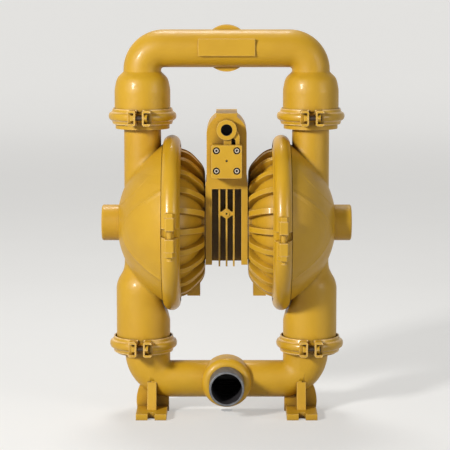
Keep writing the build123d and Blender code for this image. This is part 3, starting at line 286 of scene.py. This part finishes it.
# the bore is painted near black: painted shade, as deep in the pipe
inside = bored(place, "Y", 0, inlet_height, 0.0265, -0.2, 0.2)
zinc = inside.tint((edges * 0.5).tint(zinc, zinc_worn), bore_painted_shade)
bump = place.node("Bump", {"Strength": 0.5, "Distance": 0.0002,
                           "Height": spangle + scratches * 0.4, "Normal": soft})
close_finish(place, Base_Color=zinc, Metallic=0.85 - inside * 0.85,
             Roughness=0.42 + mottle * 0.18 + inside * 0.2, Normal=bump)
dress(galvanized, "inlet_nipple")


# ---------------------------------------------------------------------------------------------
# Ball valves: four moulded rubber balls, each resting on a chamfered rubber seat ring with an
# O-ring round it. The rubber is black, with a dull moulded skin and a little bloom.
# ---------------------------------------------------------------------------------------------
def moulded_rubber(name, colour, depth, roughness):
    """Rubber with a dusty bloom and fine pores of that depth."""
    finish, place = new_finish(name)
    bloom = place.noise(60.0, 4.0, 0.6)
    pores = place.noise(900.0, 2.0, 0.6)
    dusty = tuple(channel * 1.9 + 0.004 for channel in colour[:3]) + (1,)
    bump = place.node("Bump", {"Strength": 0.6, "Distance": depth,
                               "Height": pores + bloom * 0.6})
    close_finish(place, Base_Color=bloom.within(0.4, 0.7).tint(colour, dusty),
                 Roughness=roughness + bloom * 0.2, Normal=bump)
    return finish


hands = ("left", "right")
ball_rubber = moulded_rubber("ball_rubber", (0.016, 0.016, 0.017, 1), 0.00012, 0.42)
seat_rubber = moulded_rubber("seat_rubber", (0.022, 0.021, 0.020, 1), 0.0002, 0.55)
for hand in hands:
    dress(ball_rubber, f"{hand}_inlet_ball", f"{hand}_discharge_ball")
    dress(seat_rubber, f"{hand}_inlet_seat", f"{hand}_discharge_seat")
dress(seat_rubber, "seat_rings")


# ---------------------------------------------------------------------------------------------
# Liquid chambers: two iron sand castings, a dome with a riser above it and a wide leg below it,
# painted as the manifold is.
# ---------------------------------------------------------------------------------------------
shaft_height = 0.332


def fillet_band(place):
    """1 where the dome runs into its riser and leg, joined by the moulder with a broad fillet."""
    rise = (place.part("Z") - shaft_height).math("ABSOLUTE")
    out = place.part("X").math("ABSOLUTE")
    return rise.within(0.045, 0.058) * (1 - rise.within(0.150, 0.162)) * out.within(0.119, 0.128)


def dome_creases(place):
    """A low step across the dome, bowed outwards, and a shorter one above it on the outer side."""
    step_height = 0.0011
    ledge_height = 0.0013
    ledge_width = 0.009
    bow_x = 0.179
    bow_below_shaft = 0.008
    rise = place.part("Z") - shaft_height
    out = place.part("X").math("ABSOLUTE")
    fall = (rise + bow_below_shaft).math("ABSOLUTE").math("POWER", 1.8) * 7.13
    past = out - (bow_x - fall)
    step = past.within(-0.0012, 0.0012)
    ledge = 1 - past.math("ABSOLUTE").within(0.0, ledge_width)
    second = (out + rise * 0.93 - 0.2135).within(-0.0009, 0.0009) * rise.within(0.030, 0.040)
    relief = (step + second) * step_height + ledge * ledge_height
    return relief * (1 - rise.within(0.078, 0.092))


chamber_enamel = painted("chamber_enamel", 0.00055, 0.0016, 0.6, blend=fillet_band,
                         relief=dome_creases)
for hand in hands:
    dress(chamber_enamel, f"{hand}_liquid_chamber")


# ---------------------------------------------------------------------------------------------
# Shaft group: a ground steel shaft in a bronze bushing with rubber seals, a stud at each end, a
# forged inner piston, a cast aluminium outer piston and a rubber diaphragm with a fabric core.
# ---------------------------------------------------------------------------------------------
def machined(name, colour, stretch, roughness, metallic=1.0):
    """Metal with fine tool marks that run round one axis; stretch is the marks' scale by axis."""
    finish, place = new_finish(name)
    soft = rounded(place, 0.0005)
    turned = place.node("Mapping", {"Vector": place, "Scale": stretch})
    marks = turned.noise(1.0, 3.0, 0.65)
    stains = place.noise(40.0, 3.0, 0.6)
    dull = tuple(channel * 0.62 for channel in colour[:3]) + (1,)
    bump = place.node("Bump", {"Strength": 0.5, "Distance": 0.00006, "Height": marks,
                               "Normal": soft})
    close_finish(place, Base_Color=stains.within(0.35, 0.75).tint(colour, dull), Metallic=metallic,
                 Roughness=roughness + marks * 0.14 + stains * 0.06, Normal=bump)
    return finish


shaft_steel = machined("shaft_steel", (0.56, 0.56, 0.57, 1), (2400, 60, 60), 0.16)
forged_steel = machined("forged_steel", (0.36, 0.35, 0.34, 1), (500, 260, 260), 0.38)
cast_aluminium = machined("cast_aluminium", (0.60, 0.60, 0.61, 1), (900, 700, 700), 0.36)
bushing_bronze = machined("bushing_bronze", (0.56, 0.34, 0.15, 1), (1800, 80, 80), 0.26)
diaphragm_rubber = moulded_rubber("diaphragm_rubber", (0.030, 0.029, 0.028, 1), 0.0003, 0.60)
dress(shaft_steel, "main_shaft", "shaft_studs")
dress(bushing_bronze, "shaft_bushing")
dress(seat_rubber, "shaft_seals")
for hand in hands:
    dress(diaphragm_rubber, f"{hand}_diaphragm")
    dress(forged_steel, f"{hand}_inner_piston")
    dress(cast_aluminium, f"{hand}_outer_piston")


# ---------------------------------------------------------------------------------------------
# Air chambers: ribbed castings behind the diaphragms, each screwed to the centre block over a
# fibre gasket with four socket screws.
# ---------------------------------------------------------------------------------------------
gasket_fibre = moulded_rubber("gasket_fibre", (0.060, 0.045, 0.032, 1), 0.0003, 0.75)
bowl_enamel = painted("bowl_enamel", 0.00045, 0.0016, 0.6)
for hand in hands:
    dress(bowl_enamel, f"{hand}_air_chamber")
    dress(gasket_fibre, f"{hand}_chamber_gasket")


def new_tree(name, sizes):
    """A Geometry Nodes tree with a named input for each size, and its inputs as signals."""
    tree = bpy.data.node_groups.new(name, "GeometryNodeTree")
    inputs = (("Seats", "Geometry"),) + sizes
    for label, kind in inputs:
        tree.interface.new_socket(name=label, in_out="INPUT", socket_type="NodeSocket" + kind)
    tree.interface.new_socket(name="Fasteners", in_out="OUTPUT", socket_type="NodeSocketGeometry")
    given = Signal(tree).node("NodeGroupInput", {})
    return tree, {label: given.beside(label) for label, kind in inputs}


def set_on_seats(given, head, rod=None):
    """Ends a tree: a head, with its rod below it, stands on each seat with its Z along aim."""
    start = given["Seats"]
    solids = [head]
    if rod:
        solids.insert(0, start.node(
            "GeometryNodeStoreNamedAttribute", {"Geometry": rod, "Name": "rod", "Value": True},
            data_type="BOOLEAN", domain="FACE"))
    whole = start.node("GeometryNodeJoinGeometry", {0: solids})
    aim = start.node("GeometryNodeInputNamedAttribute", {"Name": "aim"}, data_type="FLOAT_VECTOR")
    turn = start.node("FunctionNodeAlignRotationToVector", {"Vector": aim}, axis="Z")
    copies = start.node("GeometryNodeInstanceOnPoints", {
        "Points": start, "Rotation": turn, "Instance": whole})
    real = start.node("GeometryNodeRealizeInstances", {0: copies})
    real = start.node("GeometryNodeSetMaterial", {"Geometry": real, "Material": given["Finish"]})
    if rod:
        bare = start.node("GeometryNodeInputNamedAttribute", {"Name": "rod"}, data_type="BOOLEAN")
        real = start.node("GeometryNodeSetMaterial", {
            "Geometry": real, "Selection": bare, "Material": given["Rod Finish"]})
    start.node("NodeGroupOutput", {0: real})


def prism(given, sides, radius, height, bevel):
    """A turned or hexagonal head that stands on its seat, with its upper edge bevelled."""
    start = given["Seats"]
    tall = height - bevel
    barrel = start.node("GeometryNodeMeshCylinder", {
        "Vertices": sides, "Radius": radius, "Depth": tall}, output="Mesh")
    stood = start.node("GeometryNodeSetPosition", {
        "Geometry": barrel, "Offset": start.node("CombineXYZ", {"Z": tall * 0.5})})
    risen = start.node("GeometryNodeExtrudeMesh", {
        0: stood, 1: barrel.beside("Top"), 3: bevel}, output="Mesh")
    return start.node("GeometryNodeScaleElements", {
        "Geometry": risen, "Selection": risen.beside("Top"),
        "Scale": (radius - bevel * 0.8) / radius})


def threaded_rod(given):
    """A rod from the seat down, ringed at half the pitch to the depth of its thread."""
    start = given["Seats"]
    length = given["Rod Length"]
    line = start.node("GeometryNodeCurvePrimitiveLine", {
        "End": start.node("CombineXYZ", {"Z": length * -1})})
    rings = start.node("GeometryNodeResampleCurve", {
        "Curve": line, "Count": length * 2 / given["Pitch"]})
    root_share = 0.89
    crest = start.node("GeometryNodeInputIndex", {}).math("MODULO", 2.0)
    ring = start.node("GeometryNodeCurvePrimitiveCircle", {
        "Resolution": 20, "Radius": given["Rod Radius"]})
    return start.node("GeometryNodeCurveToMesh", {
        "Curve": rings, "Profile Curve": ring, "Scale": crest * (1 - root_share) + root_share,
        "Fill Caps": True})


def made_by(tree, name, seats, **sizes):
    """One plain mesh, made by the tree on seats, each a place and the way its head faces."""
    points = bpy.data.meshes.new(name)
    points.from_pydata([place for place, aim in seats], [], [])
    aims = points.attributes.new("aim", "FLOAT_VECTOR", "POINT")
    for spot, (place, aim) in zip(aims.data, seats):
        spot.vector = aim
    blank = bpy.data.objects.new(name + "_seats", points)
    bpy.context.collection.objects.link(blank)
    maker = blank.modifiers.new("maker", "NODES")
    maker.node_group = tree
    keys = {item.name: item.identifier for item in tree.interface.items_tree}
    for size, value in sizes.items():
        maker[keys[size.replace("_", " ")]] = value
    bpy.context.view_layer.update()
    depsgraph = bpy.context.evaluated_depsgraph_get()
    solid = bpy.data.meshes.new_from_object(blank.evaluated_get(depsgraph), depsgraph=depsgraph)
    solid.name = name
    bpy.data.objects.remove(blank)
    piece = bpy.data.objects.new(name, solid)
    bpy.context.collection.objects.link(piece)
    return piece


# a socket screw: a turned head with a hexagon socket, over its threaded rod
socket_screw, given = new_tree("socket_screw", (
    ("Sides", "Int"), ("Head Radius", "Float"), ("Head Height", "Float"), ("Bevel", "Float"),
    ("Socket Radius", "Float"), ("Socket Depth", "Float"), ("Rod Radius", "Float"),
    ("Rod Length", "Float"), ("Pitch", "Float"), ("Finish", "Material"),
    ("Rod Finish", "Material")))
head = prism(given, given["Sides"], given["Head Radius"], given["Head Height"], given["Bevel"])
key = head.node("GeometryNodeMeshCylinder", {
    "Vertices": 6, "Radius": given["Socket Radius"], "Depth": given["Socket Depth"] * 2})
key = head.node("GeometryNodeSetPosition", {
    "Geometry": key, "Offset": head.node("CombineXYZ", {"Z": given["Head Height"]})})
head = head.node("GeometryNodeMeshBoolean", {0: head, 1: key}, operation="DIFFERENCE")
set_on_seats(given, head, threaded_rod(given))

screw_steel = machined("screw_steel", (0.50, 0.50, 0.51, 1), (700, 700, 700), 0.22)
chamber_screw_x = 0.046
half_square = 0.038
chamber_screw_seats = [((side * chamber_screw_x, y, shaft_height + z), (side, 0, 0))
                       for side in (-1, 1)
                       for y in (-half_square, half_square)
                       for z in (-half_square, half_square)]
chamber_screws = made_by(socket_screw, "chamber_socket_screws", chamber_screw_seats, Sides=40,
                         Head_Radius=0.0065, Head_Height=0.008, Bevel=0.0007, Socket_Radius=0.0034,
                         Socket_Depth=0.004, Rod_Radius=0.004, Rod_Length=0.0199, Pitch=0.00125,
                         Finish=screw_steel, Rod_Finish=screw_steel)
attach(chamber_screws, "root")
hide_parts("chamber_screws")


# ---------------------------------------------------------------------------------------------
# Centre block: a casting with cooling fins, between the air chambers, which carries the shaft's
# bushing and holds up the arch for the air valve.
# ---------------------------------------------------------------------------------------------
exhaust_height = 0.470
exhaust_bore = (("Y", 0, exhaust_height, 0.0122, 0.030, 0.2),)
dress(painted("block_enamel", 0.00045, 0.0014, 0.6, exhaust_bore, 0.0018), "center_block")


# ---------------------------------------------------------------------------------------------
# Air valve: a painted body held by four socket screws over a gasket, with an aluminium piston
# that runs in it, and an end cap with its ring, held by a snap ring.
# ---------------------------------------------------------------------------------------------
screw_square_middle = 0.4487
air_port_height = 0.500
valve_bores = (("Y", 0, air_port_height, 0.0098, -0.2, -0.055),
               ("Y", 0, screw_square_middle, 0.0019, -0.2, -0.08))
dress(painted("valve_enamel", 0.00040, 0.0014, 0.6, valve_bores, 0.0018), "air_valve_body")
dress(gasket_fibre, "air_valve_gasket")
dress(screw_steel, "air_valve_snap_ring")
dress(cast_aluminium, "air_valve_piston", "air_valve_end_cap")
dress(seat_rubber, "air_valve_cap_ring")

# the screws' heads are near black, painted shade of their counterbores and sockets, and rubbed
# bright round the socket
half_square = 0.01715
plate_front_y = -0.0926
head_front_y = -0.0975
head_bright = 0.0037
# near black: painted shade of the counterbores and sockets
counterbore_painted_shade = (0.018, 0.014, 0.012, 1)
rubbed_bright = (0.62, 0.54, 0.44, 1)
screw_with_painted_shade, place = new_finish("screw_with_painted_shade")
soft = rounded(place, 0.0004)
beside = place.part("X").math("ABSOLUTE") - half_square
over = (place.part("Z") - screw_square_middle).math("ABSOLUTE") - half_square
reach = (beside * beside + over * over).math("SQRT")
rim = reach.within(head_bright - 0.0003, head_bright + 0.0003)
face = (1 - rim) * reach.within(0.0018, 0.0021) * place.part("Y").math("LESS_THAN", head_front_y)
turned = place.noise(900.0, 2.0, 0.6)
bump = place.node("Bump", {"Strength": 0.4, "Distance": 0.0001, "Height": turned, "Normal": soft})
close_finish(place, Base_Color=face.tint(counterbore_painted_shade, rubbed_bright), Metallic=0.9 - face * 0.3,
             Roughness=0.30 + turned * 0.15, Normal=bump)
valve_screw_seats = [((x, plate_front_y, screw_square_middle + z), (0, -1, 0))
                     for x in (-half_square, half_square) for z in (-half_square, half_square)]
valve_screws = made_by(socket_screw, "air_valve_socket_screws", valve_screw_seats, Sides=40,
                       Head_Radius=0.00499, Head_Height=0.006, Bevel=0.0009, Socket_Radius=0.0022,
                       Socket_Depth=0.003, Rod_Radius=0.003, Rod_Length=0.0465, Pitch=0.001,
                       Finish=screw_with_painted_shade, Rod_Finish=screw_steel)
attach(valve_screws, "root")
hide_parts("air_valve_screws")


# ---------------------------------------------------------------------------------------------
# Discharge manifold: an iron sand casting, a tube with two elbows that open into the bells over
# the upper ball valves. The pad at its front is left bare.
# ---------------------------------------------------------------------------------------------
discharge_height = 0.6335
discharge_bores = (("X", 0, discharge_height, 0.0275, -0.10, 0.10),
                   ("Y", 0, discharge_height, 0.0292, 0.0, 0.2))
discharge_enamel = painted("discharge_enamel", 0.00055, 0.0016, 0.6, discharge_bores, 0.0022)
dress(discharge_enamel, "discharge_manifold")


# ---------------------------------------------------------------------------------------------
# Small clamps: pairs of vee section half rings of ductile iron at each ball valve, drawn together
# by two bolts with square nuts in the pockets of their lugs, and painted with the pump.
# ---------------------------------------------------------------------------------------------
clamp_enamel = painted("clamp_enamel", 0.00030, 0.0011, 1.5, gloss=0.10, corner=0.010)
for hand in hands:
    for end in ("inlet", "discharge"):
        dress(clamp_enamel, f"{hand}_{end}_clamp_inner", f"{hand}_{end}_clamp_outer")

# a bolt: a bevelled hexagon head over its threaded rod; a nut: a bevelled prism with a bore
hexagon_bolt, given = new_tree("hexagon_bolt", (
    ("Sides", "Int"), ("Head Radius", "Float"), ("Head Height", "Float"), ("Bevel", "Float"),
    ("Rod Radius", "Float"), ("Rod Length", "Float"), ("Pitch", "Float"), ("Finish", "Material"),
    ("Rod Finish", "Material")))
head = prism(given, given["Sides"], given["Head Radius"], given["Head Height"], given["Bevel"])
set_on_seats(given, head, threaded_rod(given))

bored_nut, given = new_tree("bored_nut", (
    ("Sides", "Int"), ("Nut Radius", "Float"), ("Nut Height", "Float"), ("Bevel", "Float"),
    ("Bore Radius", "Float"), ("Finish", "Material")))
nut = prism(given, given["Sides"], given["Nut Radius"], given["Nut Height"], given["Bevel"])
drill = nut.node("GeometryNodeMeshCylinder", {
    "Vertices": 20, "Radius": given["Bore Radius"], "Depth": given["Nut Height"] * 4})
nut = nut.node("GeometryNodeMeshBoolean", {0: nut, 1: drill}, operation="DIFFERENCE")
set_on_seats(given, nut)

bolt_enamel = painted("bolt_enamel", 0.00020, 0.0006, 1.0, corner=0.007)
# the small bolts' rods are dark oxidised steel, darkened further as painted shade of the gap
# between the lugs
shaded_rod_steel = machined("shaded_rod_steel", (0.085, 0.062, 0.045, 1), (300, 300, 300), 0.45, 0.8)
leg_spread = 0.145
inlet_joint = 0.1208
discharge_joint = 0.5175
small_bolt_out = 0.064
small_bolt_grip = 0.00875
small_bolt_seats = []
small_nut_seats = []
# the left pairs sit turned a little round their legs, as they were when they were drawn up
for side, turn in ((-1, math.radians(-3.0)), (1, 0.0)):
    along = Vector((math.cos(turn), math.sin(turn), 0))
    outward = Vector((-math.sin(turn), math.cos(turn), 0))
    for joint in (inlet_joint, discharge_joint):
        for end in (-1, 1):
            middle = Vector((side * leg_spread, 0, joint)) + outward * end * small_bolt_out
            small_bolt_seats.append((middle - along * small_bolt_grip, -along))
            small_nut_seats.append((middle + along * small_bolt_grip, along))
small_bolts = made_by(hexagon_bolt, "small_clamp_hexagon_bolts", small_bolt_seats, Sides=6,
                      Head_Radius=0.0075, Head_Height=0.0055, Bevel=0.0009, Rod_Radius=0.00399,
                      Rod_Length=0.025, Pitch=0.00125, Finish=bolt_enamel, Rod_Finish=shaded_rod_steel)
small_nuts = made_by(bored_nut, "small_clamp_square_nuts", small_nut_seats, Sides=4,
                     Nut_Radius=0.00919, Nut_Height=0.0055, Bevel=0.0008, Bore_Radius=0.0039,
                     Finish=bolt_enamel)
for piece, replaced in ((small_bolts, "small_clamp_bolts"), (small_nuts, "small_clamp_nuts")):
    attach(piece, "root")
    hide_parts(replaced)


# ---------------------------------------------------------------------------------------------
# Large clamps: two cast half rings round the flanges of each liquid chamber and its air chamber,
# drawn together by a long bolt at the front and another at the rear, and painted with the pump.
# ---------------------------------------------------------------------------------------------
for hand in hands:
    dress(clamp_enamel, f"{hand}_large_clamp_upper", f"{hand}_large_clamp_lower")

chamber_joint = 0.0945
large_bolt_out = 0.1605
large_bolt_grip = 0.0287
large_bolt_seats = []
large_nut_seats = []
# the right pair sits turned a little round the shaft
for side, turn in ((-1, 0.0), (1, math.radians(2.1))):
    along = Vector((0, -math.sin(turn), math.cos(turn)))
    outward = Vector((0, math.cos(turn), math.sin(turn)))
    for end in (-1, 1):
        middle = Vector((side * chamber_joint, 0, shaft_height)) + outward * end * large_bolt_out
        large_bolt_seats.append((middle + along * large_bolt_grip, along))
        large_nut_seats.append((middle - along * large_bolt_grip, -along))
large_bolts = made_by(hexagon_bolt, "large_clamp_hexagon_bolts", large_bolt_seats, Sides=6,
                      Head_Radius=0.0098, Head_Height=0.0073, Bevel=0.0012, Rod_Radius=0.00499,
                      Rod_Length=0.0727, Pitch=0.0015, Finish=bolt_enamel, Rod_Finish=bolt_enamel)
large_nuts = made_by(bored_nut, "large_clamp_hexagon_nuts", large_nut_seats, Sides=6,
                     Nut_Radius=0.0098, Nut_Height=0.0093, Bevel=0.0012, Bore_Radius=0.0049,
                     Finish=bolt_enamel)
for piece, replaced in ((large_bolts, "large_clamp_bolts"), (large_nuts, "large_clamp_nuts")):
    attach(piece, "root")
    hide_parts(replaced)


# ---------------------------------------------------------------------------------------------
# Studio: a plain pale floor, a soft key light high at the left, a fill at the right, a light
# from above behind, and the camera in front.
# ---------------------------------------------------------------------------------------------
bowl_radius = 9.0
bowl_height = 7.0
bowl_sweep = 3.0
sweep_steps = 12
profile = [(0.01, 0.0), (1.0, 0.0), (3.0, 0.0)]
for step in range(sweep_steps + 1):
    turn = math.radians(90 * step / sweep_steps)
    profile.append((bowl_radius - bowl_sweep + bowl_sweep * math.sin(turn),
                    bowl_sweep - bowl_sweep * math.cos(turn)))
profile.append((bowl_radius, bowl_height))
spokes = 72
turns = [2 * math.pi * spoke / spokes for spoke in range(spokes)]
below_feet = 0.0002
corners = [(r * math.cos(turn), r * math.sin(turn), z - below_feet)
           for r, z in profile for turn in turns]
panels = [tuple(range(spokes))]
for ring in range(0, spokes * (len(profile) - 1), spokes):
    for spoke in range(spokes):
        after = (spoke + 1) % spokes
        panels.append((ring + spoke, ring + after, ring + spokes + after, ring + spokes + spoke))
sweep_mesh = bpy.data.meshes.new("paper_sweep")
sweep_mesh.from_pydata(corners, [], panels)
for panel in sweep_mesh.polygons:
    panel.use_smooth = True
paper_sweep = bpy.data.objects.new("paper_sweep", sweep_mesh)
bpy.context.collection.objects.link(paper_sweep)
paper, place = new_finish("paper")
paper_pale = (0.44, 0.435, 0.42, 1)
paper_dull = (0.425, 0.42, 0.405, 1)
paper_glow = (1.0, 0.99, 0.965, 1)
unlit = (0, 0, 0, 1)
fibres = place.noise(4.0, 2.0, 0.5)
seen = place.node("LightPath", {}, output="Is Camera Ray")
seen = seen + seen.beside("Is Glossy Ray") + seen.beside("Is Transmission Ray")
away = place.node("VectorMath", {0: place}, output="Value", operation="LENGTH")
glow = seen * (away.within(1.5, 7.0) * 0.27 + 0.40)
close_finish(place, Base_Color=fibres.tint(paper_pale, paper_dull), Roughness=0.9,
             Emission_Color=glow.tint(unlit, paper_glow), Emission_Strength=1.0)
sweep_mesh.materials.append(paper)

pump_middle = Vector((0, 0, 0.34))
for name, spot, size, power in (
    ("key_light", (-2.3, -2.7, 1.75), 0.55, 150.0),
    ("fill_light", (2.9, -2.3, 1.2), 1.5, 34.0),
    ("top_light", (-0.2, 1.2, 2.9), 0.9, 42.0),
):
    lamp = bpy.data.lights.new(name, "AREA")
    lamp.size = size
    lamp.energy = power
    holder = bpy.data.objects.new(name, lamp)
    holder.location = spot
    holder.rotation_euler = (pump_middle - holder.location).to_track_quat("-Z", "Y").to_euler()
    bpy.context.collection.objects.link(holder)

studio = bpy.data.worlds.new("studio")
studio.use_nodes = True
studio.node_tree.nodes.clear()
seen = Signal(studio.node_tree).node("LightPath", {}, output="Is Camera Ray")
level = 0.13 + seen * 0.77 + seen.beside("Is Glossy Ray") * 0.15
sky_white = (0.98, 0.98, 1.0, 1)
sky = seen.node("Background", {"Color": sky_white, "Strength": level})
sky.node("OutputWorld", {"Surface": sky})
bpy.context.scene.world = studio

view_distance = 3.2511
view_height = 0.7581
view_drop = math.radians(6.183)
camera_data = bpy.data.cameras.new("camera")
camera_data.lens = 151.1
camera_data.sensor_width = 36.0
camera_data.shift_x = -0.0036
camera_data.shift_y = -0.10
camera = bpy.data.objects.new("camera", camera_data)
camera.location = (0, -view_distance, view_height)
camera.rotation_euler = (math.pi / 2 - view_drop, 0, 0)
bpy.context.collection.objects.link(camera)
bpy.context.scene.camera = camera
bpy.context.scene.view_settings.view_transform = "Standard"
